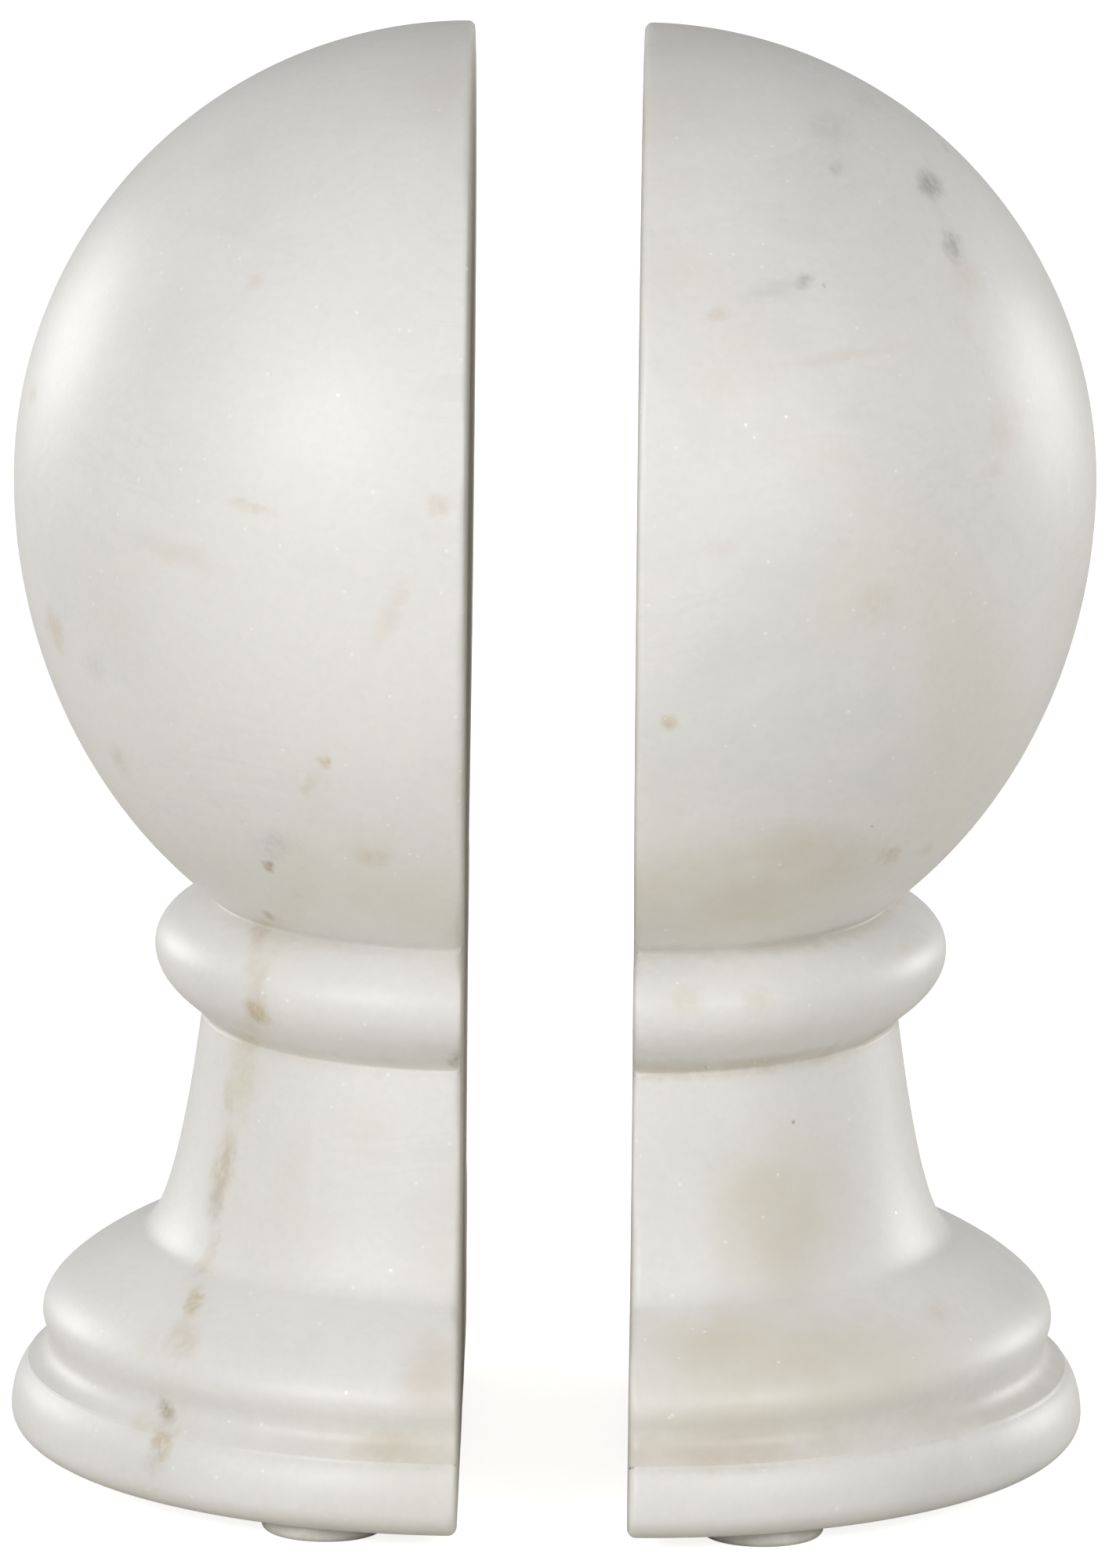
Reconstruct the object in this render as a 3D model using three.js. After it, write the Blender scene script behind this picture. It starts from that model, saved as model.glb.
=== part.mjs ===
import * as THREE from 'three';
import { mergeGeometries } from 'three/addons/utils/BufferGeometryUtils.js';

// A pair of turned stone bookends. One turning, a ball on a collared stem and a moulded foot, is sawn
// down its axis. Each half stands on three bumper pads, with its flat sawn face towards the books.
// Millimetres. +Z is up, +X runs from the left half to the right half, +Y runs away from the viewer,
// and z = 0 is the surface that the pads stand on.

// Driving dimensions
const ballRadius = 70;
const stoneHeight = 221;
const padRadius = 9.5;
const padHeight = 2.5;
const spaceBetween = 26;

// Heights here are above the stone's underside, and every radius is from the turning's axis.
const ball = {
  radius: ballRadius,
  centre: stoneHeight - ballRadius,
  drop: ballRadius * 1.125, // below its widest ring the ball hangs a little longer than a sphere
};
const collar = { top: 85.6, widest: 77.5, bottom: 67.2, radius: 47.8 };
const stem = { topRadius: 40.5, taper: 0.15 };
const dome = { radius: 64.6, widest: 19.6, edgeRadius: 49.5, edgeHeight: 32.2, slope: 0.42 };
const groove = { radius: dome.radius - 0.9, height: dome.widest - 4 };
const arris = { radius: 66.9, height: 11.5 };
const foot = { radius: ballRadius - 0.7, widest: 4.3, flatRadius: 64 };

// Facets: steps along each curve of the outline, and steps around a half turn and around a pad.
const curveSteps = 5;
const halfTurnSteps = 28;
const padSteps = 28;

const stone = { color: 0xe6e4de, roughness: 0.42, metalness: 0 };
const clearRubber = { color: 0xcfcdc0, roughness: 0.35, metalness: 0 };

const quarterTurn = Math.PI / 2;

// The turning's outline, from the axis at the underside to the axis at the top: x is the radius, y the height.
function turnedOutline() {
  const outline = new THREE.Path();
  outline.moveTo(0, 0);
  addFoot(outline);
  addDome(outline);
  addStem(outline);
  addCollar(outline);
  addBall(outline);
  return outline.getPoints(curveSteps);
}

// A full round bead, flat underneath, that ends above in a fine raised line.
function addFoot(outline) {
  const lowerDepth = foot.radius - foot.flatRadius;
  outline.lineTo(foot.flatRadius, 0);
  outline.absellipse(foot.flatRadius, foot.widest, lowerDepth, foot.widest, -quarterTurn, 0, false);
  const lastAngle = THREE.MathUtils.degToRad(62);
  const upperDepth = (foot.radius - arris.radius) / (1 - Math.cos(lastAngle));
  const upperRise = (arris.height - foot.widest) / Math.sin(lastAngle);
  outline.absellipse(foot.radius - upperDepth, foot.widest, upperDepth, upperRise, 0, lastAngle, false);
}

// A shallow groove above the raised line, then the dome's rounded lip and its shoulder.
function addDome(outline) {
  outline.bezierCurveTo(
    arris.radius - 1, arris.height + 0.8,
    groove.radius, groove.height - 2,
    groove.radius, groove.height,
  );
  outline.bezierCurveTo(
    groove.radius, groove.height + 1.4,
    dome.radius, dome.widest - 1.8,
    dome.radius, dome.widest,
  );
  const reach = 2.7;
  outline.bezierCurveTo(
    dome.radius, dome.widest + 5.6,
    dome.edgeRadius + reach, dome.edgeHeight - reach * dome.slope,
    dome.edgeRadius, dome.edgeHeight,
  );
}

// The shoulder turns into the stem, which narrows up to the collar.
function addStem(outline) {
  const reach = 4.6;
  const straight = 3.5;
  outline.bezierCurveTo(
    dome.edgeRadius - reach, dome.edgeHeight + reach * dome.slope,
    stem.topRadius + straight * stem.taper, collar.bottom - straight,
    stem.topRadius, collar.bottom,
  );
}

// A rounded ring that slants in underneath to meet the stem in a crease.
function addCollar(outline) {
  outline.bezierCurveTo(
    stem.topRadius + 1.6, collar.bottom + 2.3,
    collar.radius, collar.widest - 5.4,
    collar.radius, collar.widest,
  );
  const seat = ballSeatRadius();
  outline.bezierCurveTo(
    collar.radius, collar.widest + 4.6,
    seat + 3.6, collar.top - 1,
    seat, collar.top,
  );
}

// Radius at which the ball meets the collar.
function ballSeatRadius() {
  return ball.radius * Math.sqrt(1 - ((ball.centre - collar.top) / ball.drop) ** 2);
}

function addBall(outline) {
  const seatAngle = -Math.asin((ball.centre - collar.top) / ball.drop);
  outline.absellipse(0, ball.centre, ball.radius, ball.drop, seatAngle, 0, false);
  outline.absellipse(0, ball.centre, ball.radius, ball.radius, 0, quarterTurn, false);
}

// Half of the turning, with its sawn face on the plane x = 0 and its round side towards -X.
function halfTurning() {
  const outline = turnedOutline();
  const round = new THREE.LatheGeometry(outline, halfTurnSteps, Math.PI, Math.PI);
  round.rotateX(quarterTurn);
  const mirrored = outline.slice(1, -1).reverse().map((point) => new THREE.Vector2(-point.x, point.y));
  const sawnFace = new THREE.ShapeGeometry(new THREE.Shape([...outline, ...mirrored]));
  sawnFace.rotateX(quarterTurn);
  sawnFace.rotateZ(quarterTurn);
  return mergeGeometries([round, sawnFace]);
}

// A stick-on bumper: a low disc with a rounded lower rim.
function bumperPad() {
  const rim = 0.7;
  const profile = new THREE.Path();
  profile.moveTo(0, 0);
  profile.lineTo(padRadius - rim, 0);
  profile.absarc(padRadius - rim, rim, rim, -quarterTurn, 0, false);
  profile.lineTo(padRadius, padHeight);
  profile.lineTo(0, padHeight);
  const disc = new THREE.LatheGeometry(profile.getPoints(2), padSteps);
  disc.rotateX(quarterTurn);
  return disc;
}

function namedMesh(name, geometry, look) {
  const mesh = new THREE.Mesh(geometry, new THREE.MeshStandardMaterial(look));
  mesh.name = name;
  return mesh;
}

// Two pads near the sawn face's ends and one under the round side, so that the half never rocks.
const padPlaces = [
  { place: 'front', fromFace: 20.5, alongFace: -51 },
  { place: 'rear', fromFace: 20.5, alongFace: 51 },
  { place: 'outer', fromFace: 52, alongFace: 0 },
];

// One bookend. outward is -1 for the left half and +1 for the right half.
function bookend(side, outward) {
  const group = new THREE.Group();
  const block = namedMesh(`${side}_stone_half`, halfTurning(), stone);
  block.position.z = padHeight;
  block.rotation.z = outward > 0 ? Math.PI : 0;
  group.add(block);
  for (const { place, fromFace, alongFace } of padPlaces) {
    const pad = namedMesh(`${side}_pad_${place}`, bumperPad(), clearRubber);
    pad.position.set(outward * fromFace, alongFace, 0);
    group.add(pad);
  }
  group.position.x = outward * spaceBetween / 2;
  return group;
}

const bookends = new THREE.Group();
bookends.add(bookend('left', -1));
bookends.add(bookend('right', 1));

export default bookends;
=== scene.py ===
import math

import bpy
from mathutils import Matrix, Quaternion, Vector


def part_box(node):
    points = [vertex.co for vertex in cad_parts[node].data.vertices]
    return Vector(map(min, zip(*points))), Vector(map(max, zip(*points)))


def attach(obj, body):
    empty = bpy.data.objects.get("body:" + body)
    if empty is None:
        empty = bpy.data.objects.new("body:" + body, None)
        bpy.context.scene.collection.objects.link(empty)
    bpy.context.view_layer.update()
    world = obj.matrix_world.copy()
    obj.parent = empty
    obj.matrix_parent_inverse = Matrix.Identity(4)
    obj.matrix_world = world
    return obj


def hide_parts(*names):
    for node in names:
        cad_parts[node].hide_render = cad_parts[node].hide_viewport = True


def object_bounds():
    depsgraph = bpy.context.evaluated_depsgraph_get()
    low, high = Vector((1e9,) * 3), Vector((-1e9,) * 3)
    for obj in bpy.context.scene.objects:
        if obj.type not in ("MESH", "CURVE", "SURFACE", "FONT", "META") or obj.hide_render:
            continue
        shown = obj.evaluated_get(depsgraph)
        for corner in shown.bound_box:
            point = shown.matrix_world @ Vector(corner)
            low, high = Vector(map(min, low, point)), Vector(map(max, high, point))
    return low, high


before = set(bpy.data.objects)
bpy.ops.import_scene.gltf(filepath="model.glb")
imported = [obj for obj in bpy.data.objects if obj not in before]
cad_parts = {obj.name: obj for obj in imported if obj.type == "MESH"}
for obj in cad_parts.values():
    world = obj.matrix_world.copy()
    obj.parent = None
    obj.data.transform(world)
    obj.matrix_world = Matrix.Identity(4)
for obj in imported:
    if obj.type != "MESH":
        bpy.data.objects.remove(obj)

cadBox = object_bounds()
mm = 0.001

# A pair of marble bookends: one turned finial sawn down its axis, each half on three clear bumper pads.
# Metres. The left half's sawn face looks to +X and the right half's to -X.

sides = {
    "left": {"body": "left_bookend", "outward": -1},
    "right": {"body": "right_bookend", "outward": 1},
}


# Adds a node to a geometry tree or a shader tree, and plugs in its inputs.
def addNode(tree, kind, inputs=None, **settings):
    node = tree.nodes.new(kind)
    for key, value in settings.items():
        setattr(node, key, value)
    for key, value in (inputs or {}).items():
        plug(tree, node.inputs[key], value)
    return node


def plug(tree, socket, value):
    if isinstance(value, bpy.types.NodeSocket):
        tree.links.new(value, socket)
    else:
        socket.default_value = value


def calc(tree, operation, *values, clamp=False):
    node = addNode(tree, "ShaderNodeMath", operation=operation, use_clamp=clamp)
    for socket, value in zip(node.inputs, values):
        plug(tree, socket, value)
    return node.outputs[0]


def vectorCalc(tree, operation, *values, scale=None):
    node = addNode(tree, "ShaderNodeVectorMath", operation=operation)
    for socket, value in zip(node.inputs, values):
        plug(tree, socket, value)
    if scale is not None:
        plug(tree, node.inputs["Scale"], scale)
    return node.outputs["Value"] if operation in {"LENGTH", "DISTANCE"} else node.outputs["Vector"]


def combine(tree, x, y, z):
    return addNode(tree, "ShaderNodeCombineXYZ", {"X": x, "Y": y, "Z": z}).outputs[0]


def axisOf(tree, vector, axis):
    return addNode(tree, "ShaderNodeSeparateXYZ", {0: vector}).outputs[axis]


def ramp(tree, value, low, high, toLow=0.0, toHigh=1.0, smooth=True):
    kind = "SMOOTHSTEP" if smooth else "LINEAR"
    inputs = {"Value": value, "From Min": low, "From Max": high, "To Min": toLow, "To Max": toHigh}
    return addNode(tree, "ShaderNodeMapRange", inputs, interpolation_type=kind).outputs["Result"]


def noise(tree, at, scale, detail=2.0, roughness=0.5):
    inputs = {"Vector": at, "Scale": scale, "Detail": detail, "Roughness": roughness}
    return addNode(tree, "ShaderNodeTexNoise", inputs).outputs[0]


# Points along an elliptical arc, without the first one, which the previous curve has already given.
def ellipseArc(centre, halfWidth, halfHeight, start, end, steps):
    angles = [start + (end - start) * i / steps for i in range(1, steps + 1)]
    return [(centre[0] + halfWidth * math.cos(a), centre[1] + halfHeight * math.sin(a)) for a in angles]


def bezierArc(first, handle, otherHandle, last, steps):
    points = []
    for i in range(1, steps + 1):
        t = i / steps
        weights = ((1 - t) ** 3, 3 * t * (1 - t) ** 2, 3 * t * t * (1 - t), t ** 3)
        corners = (first, handle, otherHandle, last)
        points.append(tuple(sum(w * c[axis] for w, c in zip(weights, corners)) for axis in (0, 1)))
    return points


def outlineObject(name, points):
    mesh = bpy.data.meshes.new(name)
    mesh.from_pydata([(r, 0, z) for r, z in points], [(i, i + 1) for i in range(len(points) - 1)], [])
    made = bpy.data.objects.new(name, mesh)
    bpy.context.collection.objects.link(made)
    return made


def runTree(source, tree, values, name):
    modifier = source.modifiers.new("make", "NODES")
    modifier.node_group = tree
    for item in tree.interface.items_tree:
        if item.item_type == "SOCKET" and item.in_out == "INPUT" and item.name in values:
            modifier[item.identifier] = values[item.name]
    bpy.context.view_layer.update()
    graph = bpy.context.evaluated_depsgraph_get()
    mesh = bpy.data.meshes.new_from_object(source.evaluated_get(graph))
    mesh.name = name
    made = bpy.data.objects.new(name, mesh)
    bpy.context.collection.objects.link(made)
    bpy.data.objects.remove(source)
    return made


def newTree(name, sockets):
    tree = bpy.data.node_groups.new(name, "GeometryNodeTree")
    tree.interface.new_socket("Geometry", in_out="INPUT", socket_type="NodeSocketGeometry")
    for label, kind in sockets:
        tree.interface.new_socket(label, in_out="INPUT", socket_type="NodeSocket" + kind)
    tree.interface.new_socket("Geometry", in_out="OUTPUT", socket_type="NodeSocketGeometry")
    return tree, addNode(tree, "NodeGroupInput"), addNode(tree, "NodeGroupOutput")


# The stone halves.
stoneShape = {
    "dropRatio": 1.125,       # below its widest ring the ball hangs longer than a sphere
    "collarTop": 85.6,        # heights above the underside and radii from the axis, all in millimetres
    "collarWidest": 77.5,
    "collarBottom": 67.2,
    "collarRadius": 47.8,
    "stemTopRadius": 40.5,
    "stemTaper": 0.15,
    "stemStraight": 3.5,      # how far the straight top of the stem pulls on its curve
    "flareReach": 5.4,        # how far the dome's slope pulls on the stem's curve
    "domeRadius": 64.6,
    "domeWidest": 19.6,
    "domeEdgeRadius": 49.5,   # where the dome's shoulder turns into the stem
    "domeEdgeHeight": 32.2,
    "domeSlope": 0.42,
    "domeFullness": 5.6,
    "domeReach": 2.7,
    "lipInset": 0.9,
    "lipDrop": 4.0,
    "arrisRadius": 66.9,      # the fine raised line along the top of the foot
    "arrisHeight": 11.5,
    "arrisBead": 0.16,
    "footInset": 0.7,         # how much smaller the foot is than the ball
    "footWidest": 4.3,
    "footFlatRadius": 64.0,
    "footTurn": 62,           # degrees that the foot's upper edge turns through before the raised line
    "incisedDepth": 0.3,      # the fine line cut where the stem meets the collar
    "incisedHeight": 0.5,
    "edgeSoftness": 1.3,      # how far the sawn edge is rubbed down
    "handWobble": 0.12,
    "arcSteps": 128,
    "faceSteps": 64,
    "baseRings": 26,
}


def halfOutline(radius, height):
    s = stoneShape
    right = math.pi / 2
    footRadius = radius - s["footInset"]
    depth = footRadius - s["footFlatRadius"]
    points = [(s["footFlatRadius"], 0.0)]
    points += ellipseArc((s["footFlatRadius"], s["footWidest"]), depth, s["footWidest"], -right, 0, 14)
    lastAngle = math.radians(s["footTurn"])
    upperDepth = (footRadius - s["arrisRadius"]) / (1 - math.cos(lastAngle))
    upperRise = (s["arrisHeight"] - s["footWidest"]) / math.sin(lastAngle)
    points += ellipseArc((footRadius - upperDepth, s["footWidest"]), upperDepth, upperRise, 0, lastAngle, 14)
    points += arrisBead()
    points += domeCurve()
    points += stemCurve()
    ballCentre = height - radius
    drop = radius * s["dropRatio"]
    seatAngle = -math.asin((ballCentre - s["collarTop"]) / drop)
    seat = radius * math.cos(seatAngle)
    points += collarCurve(seat)
    points += ellipseArc((0, ballCentre), radius, drop, seatAngle, 0, 64)
    points += ellipseArc((0, ballCentre), radius, radius, 0, right, 96)
    return [(r * mm, z * mm) for r, z in points]


def arrisBead():
    s = stoneShape
    r, z, bead = s["arrisRadius"], s["arrisHeight"], s["arrisBead"]
    return ellipseArc((r - bead, z + 0.1), bead, bead * 1.4, -0.2, math.pi / 2, 6)


def domeCurve():
    s = stoneShape
    lip = (s["domeRadius"] - s["lipInset"], s["domeWidest"] - s["lipDrop"])
    widest = (s["domeRadius"], s["domeWidest"])
    edge = (s["domeEdgeRadius"], s["domeEdgeHeight"])
    start = (s["arrisRadius"] - s["arrisBead"], s["arrisHeight"] + 0.1 + s["arrisBead"] * 1.4)
    cove = bezierArc(start, (start[0] - 1, start[1] + 0.5), (lip[0], lip[1] - 2), lip, 14)
    turn = bezierArc(lip, (lip[0], lip[1] + 1.4), (widest[0], widest[1] - 1.8), widest, 12)
    full = (widest[0], widest[1] + s["domeFullness"])
    reach = (edge[0] + s["domeReach"], edge[1] - s["domeReach"] * s["domeSlope"])
    return cove + turn + bezierArc(widest, full, reach, edge, 26)


def stemCurve():
    s = stoneShape
    edge = (s["domeEdgeRadius"], s["domeEdgeHeight"])
    top = (s["stemTopRadius"], s["collarBottom"] - s["incisedHeight"])
    leave = (edge[0] - s["flareReach"], edge[1] + s["flareReach"] * s["domeSlope"])
    arrive = (top[0] + s["stemStraight"] * s["stemTaper"], top[1] - s["stemStraight"])
    cut = (top[0] - s["incisedDepth"], top[1] + s["incisedHeight"] * 0.6)
    return bezierArc(edge, leave, arrive, top, 46) + bezierArc(top, (top[0], top[1] + 0.2), cut, cut, 4)


def collarCurve(seat):
    s = stoneShape
    start = (s["stemTopRadius"] - s["incisedDepth"] * 0.6, s["collarBottom"])
    widest = (s["collarRadius"], s["collarWidest"])
    under = bezierArc(start, (start[0] + 1.7, start[1] + 2.3), (widest[0], widest[1] - 5.4), widest, 24)
    top = (seat, s["collarTop"])
    over = bezierArc(widest, (widest[0], widest[1] + 4.6), (seat + 3.6, top[1] - 1), top, 26)
    return [start] + under + over


# A ring round the half is an arc over the turned side, then a chord back over the sawn face.
def halfRing(tree, step, radius, arcSteps, faceSteps):
    onArc = calc(tree, "DIVIDE", step, arcSteps)
    crowding = -0.135    # steps stand closer together near the sawn edges
    ease = calc(tree, "MULTIPLY", calc(tree, "SINE", calc(tree, "MULTIPLY", onArc, 2 * math.pi)), crowding)
    angle = calc(tree, "MULTIPLY", calc(tree, "ADD", onArc, ease), math.pi)
    arc = combine(tree,
                  calc(tree, "MULTIPLY", radius, calc(tree, "SINE", angle)),
                  calc(tree, "MULTIPLY", radius, calc(tree, "COSINE", angle)),
                  0.0)
    onFace = calc(tree, "DIVIDE", calc(tree, "SUBTRACT", step, arcSteps), faceSteps)
    across = calc(tree, "MULTIPLY", calc(tree, "COSINE", calc(tree, "MULTIPLY", onFace, math.pi)), -1.0)
    chord = combine(tree, 0.0, calc(tree, "MULTIPLY", radius, across), 0.0)
    isFace = calc(tree, "GREATER_THAN", step, calc(tree, "ADD", arcSteps, 0.5))
    mix = addNode(tree, "ShaderNodeMix", {0: isFace, 4: arc, 5: chord}, data_type="VECTOR")
    return mix.outputs[1]


def gridOf(tree, rows, columns):
    grid = addNode(tree, "GeometryNodeMeshGrid", {"Vertices X": rows, "Vertices Y": columns})
    index = addNode(tree, "GeometryNodeInputIndex").outputs[0]
    row = calc(tree, "FLOOR", calc(tree, "DIVIDE", calc(tree, "ADD", index, 0.5), columns))
    column = calc(tree, "SUBTRACT", index, calc(tree, "MULTIPLY", row, columns))
    return grid.outputs["Mesh"], row, column


# Turns the outline through half a circle, closes it with the sawn face and the underside,
# rubs the sawn edges down and gives the turned side the faint waves of hand finishing.
def turnedHalfTree():
    tree, start, end = newTree("turnedHalf", [
        ("Arc Steps", "Int"), ("Face Steps", "Int"), ("Base Rings", "Int"), ("Edge Softness", "Float"),
        ("Hand Wobble", "Float"), ("Outward", "Float"), ("Face X", "Float"), ("Underside Z", "Float"),
        ("Seed", "Float"), ("Material", "Material"),
    ])
    given = start.outputs
    outline = given["Geometry"]
    arcSteps, faceSteps = given["Arc Steps"], given["Face Steps"]
    columns = calc(tree, "ADD", calc(tree, "ADD", arcSteps, faceSteps), 1)
    rows = addNode(tree, "GeometryNodeAttributeDomainSize", {0: outline}).outputs["Point Count"]

    wall, row, column = gridOf(tree, rows, columns)
    position = addNode(tree, "GeometryNodeInputPosition").outputs[0]
    sample = addNode(tree, "GeometryNodeSampleIndex", {"Geometry": outline, "Value": position, "Index": row},
                     data_type="FLOAT_VECTOR")
    outlinePoint = addNode(tree, "ShaderNodeSeparateXYZ", {0: sample.outputs[0]})
    ring = halfRing(tree, column, outlinePoint.outputs["X"], arcSteps, faceSteps)
    ring = vectorCalc(tree, "ADD", ring, combine(tree, 0.0, 0.0, outlinePoint.outputs["Z"]))
    wall = addNode(tree, "GeometryNodeSetPosition", {"Geometry": wall, "Position": ring}).outputs[0]

    base, baseRow, baseColumn = gridOf(tree, given["Base Rings"], columns)
    first = addNode(tree, "GeometryNodeSampleIndex", {"Geometry": outline, "Value": position, "Index": 0},
                    data_type="FLOAT_VECTOR")
    baseRadius = axisOf(tree, first.outputs[0], "X")
    baseRing = halfRing(tree, baseColumn, baseRadius, arcSteps, faceSteps)
    halfCentroid = 0.42    # how far out a half disc balances, as a share of its radius
    middle = combine(tree, calc(tree, "MULTIPLY", baseRadius, halfCentroid), 0.0, 0.0)
    inward = calc(tree, "DIVIDE", baseRow, calc(tree, "SUBTRACT", given["Base Rings"], 1))
    inward = calc(tree, "POWER", inward, 2.2)
    toMiddle = vectorCalc(tree, "SUBTRACT", middle, baseRing)
    baseRing = vectorCalc(tree, "ADD", baseRing, vectorCalc(tree, "SCALE", toMiddle, scale=inward))
    base = addNode(tree, "GeometryNodeSetPosition", {"Geometry": base, "Position": baseRing}).outputs[0]
    base = addNode(tree, "GeometryNodeFlipFaces", {"Mesh": base}).outputs[0]

    joined = addNode(tree, "GeometryNodeJoinGeometry")
    tree.links.new(wall, joined.inputs[0])
    tree.links.new(base, joined.inputs[0])
    closed = addNode(tree, "GeometryNodeMergeByDistance", {"Geometry": joined.outputs[0], "Distance": 1e-6})
    shape = closed.outputs[0]

    # Only the faces of the sawn side lie wholly in the plane x = 0, before anything is rubbed down.
    normal = addNode(tree, "GeometryNodeInputNormal").outputs[0]
    height = addNode(tree, "ShaderNodeSeparateXYZ", {0: position})
    toFace = height.outputs["X"]
    isSawn = calc(tree, "LESS_THAN", toFace, 2e-8)
    turnedOnly = addNode(tree, "GeometryNodeSeparateGeometry", {"Geometry": shape, "Selection": isSawn},
                         domain="FACE").outputs["Inverted"]
    nearTurned = addNode(tree, "GeometryNodeProximity", {"Geometry": turnedOnly}, target_element="FACES")
    turnedNormal = addNode(tree, "GeometryNodeSampleNearestSurface", {"Mesh": turnedOnly, "Value": normal},
                           data_type="FLOAT_VECTOR").outputs[0]
    toTurned = nearTurned.outputs["Distance"]
    uneven = noise(tree, position, 45.0)
    softness = calc(tree, "MULTIPLY", given["Edge Softness"], ramp(tree, uneven, 0.3, 0.7, 0.7, 1.5))
    share = calc(tree, "DIVIDE", calc(tree, "ADD", toFace, toTurned), softness, clamp=True)
    bend = calc(tree, "MULTIPLY", calc(tree, "SUBTRACT", 1.0, share), math.pi / 4)
    sink = calc(tree, "MULTIPLY", softness, calc(tree, "SUBTRACT", 1.0, calc(tree, "COSINE", bend)))
    slideTo = calc(tree, "MULTIPLY", softness, calc(tree, "SUBTRACT", 1.0, calc(tree, "SINE", bend)))
    isTurned = calc(tree, "LESS_THAN", toTurned, 1e-6)
    distance = calc(tree, "ADD", toFace, toTurned)
    isNear = calc(tree, "LESS_THAN", share, 0.999)
    slide = calc(tree, "MULTIPLY", calc(tree, "SUBTRACT", slideTo, distance), isNear)
    alongTurned = addNode(tree, "ShaderNodeMix", {0: isTurned, 2: slide, 3: sink}).outputs[0]
    alongFace = addNode(tree, "ShaderNodeMix", {0: isTurned, 2: sink, 3: slide}).outputs[0]
    rub = vectorCalc(tree, "SCALE", turnedNormal, scale=calc(tree, "MULTIPLY", alongTurned, -1.0))
    rub = vectorCalc(tree, "ADD", rub, combine(tree, alongFace, 0.0, 0.0))
    shape = addNode(tree, "GeometryNodeSetPosition", {"Geometry": shape, "Offset": rub}).outputs[0]

    waveAt = vectorCalc(tree, "ADD", position, combine(tree, given["Seed"], 0.0, 0.0))
    wave = addNode(tree, "ShaderNodeTexNoise", {"Vector": waveAt, "Scale": 28.0, "Detail": 1.0})
    lift = calc(tree, "MULTIPLY", calc(tree, "SUBTRACT", wave.outputs[0], 0.5), given["Hand Wobble"])
    onTurnedSide = ramp(tree, toFace, 0.0, 0.006)
    aboveBase = ramp(tree, height.outputs["Z"], 0.001, 0.006)
    lift = calc(tree, "MULTIPLY", lift, calc(tree, "MULTIPLY", onTurnedSide, aboveBase))
    wavy = vectorCalc(tree, "SCALE", normal, scale=lift)
    shape = addNode(tree, "GeometryNodeSetPosition", {"Geometry": shape, "Offset": wavy}).outputs[0]

    # Into place: a half turn for the left half, then out to its own sawn face and up on to the pads.
    quarter = calc(tree, "MULTIPLY", calc(tree, "SUBTRACT", 1.0, given["Outward"]), math.pi / 2)
    placed = addNode(tree, "GeometryNodeTransform", {
        "Geometry": shape,
        "Translation": combine(tree, given["Face X"], 0.0, given["Underside Z"]),
        "Rotation": combine(tree, 0.0, 0.0, quarter),
    }).outputs[0]
    smooth = addNode(tree, "GeometryNodeSetShadeSmooth", {"Geometry": placed}).outputs[0]
    real = addNode(tree, "GeometryNodeRealizeInstances", {"Geometry": smooth}).outputs[0]
    finished = addNode(tree, "GeometryNodeSetMaterial", {"Geometry": real, "Material": given["Material"]})
    tree.links.new(finished.outputs[0], end.inputs[0])
    return tree


def makeStoneHalf(side, tree, material):
    outward = sides[side]["outward"]
    low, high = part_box(f"{side}_stone_half")
    radius = (high[1] - low[1]) / 2 / mm
    outline = outlineObject("outline", halfOutline(radius, (high[2] - low[2]) / mm))
    values = {
        "Arc Steps": stoneShape["arcSteps"],
        "Face Steps": stoneShape["faceSteps"],
        "Base Rings": stoneShape["baseRings"],
        "Edge Softness": stoneShape["edgeSoftness"] * mm,
        "Hand Wobble": stoneShape["handWobble"] * mm,
        "Outward": float(outward),
        "Face X": low[0] if outward > 0 else high[0],
        "Underside Z": low[2],
        "Seed": 3.0 * outward,
        "Material": material,
    }
    piece = runTree(outline, tree, values, f"{side}_stone")
    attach(piece, sides[side]["body"])
    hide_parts(f"{side}_stone_half")
    return piece


# The bumper pads.
padShape = {
    "rim": 1.1,          # roundness of the lower edge, in millimetres
    "crown": 0.25,       # how far the sides draw in towards the adhesive
    "steps": 72,
}


def padOutline(radius, height):
    rim, crown = padShape["rim"], padShape["crown"]
    flat = [(radius * i / 8, 0.0) for i in range(8)]
    flat = [(min(r, radius - rim), z) for r, z in flat]
    corner = ellipseArc((radius - rim, rim), rim, rim, -math.pi / 2, 0, 10)
    side = bezierArc((radius, rim), (radius, rim + 0.5), (radius - crown, height - 0.5),
                     (radius - crown, height), 8)
    top = [((radius - crown) * (1 - i / 6), height) for i in range(1, 7)]
    return [(r * mm, z * mm) for r, z in flat + corner + side + top]


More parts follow.
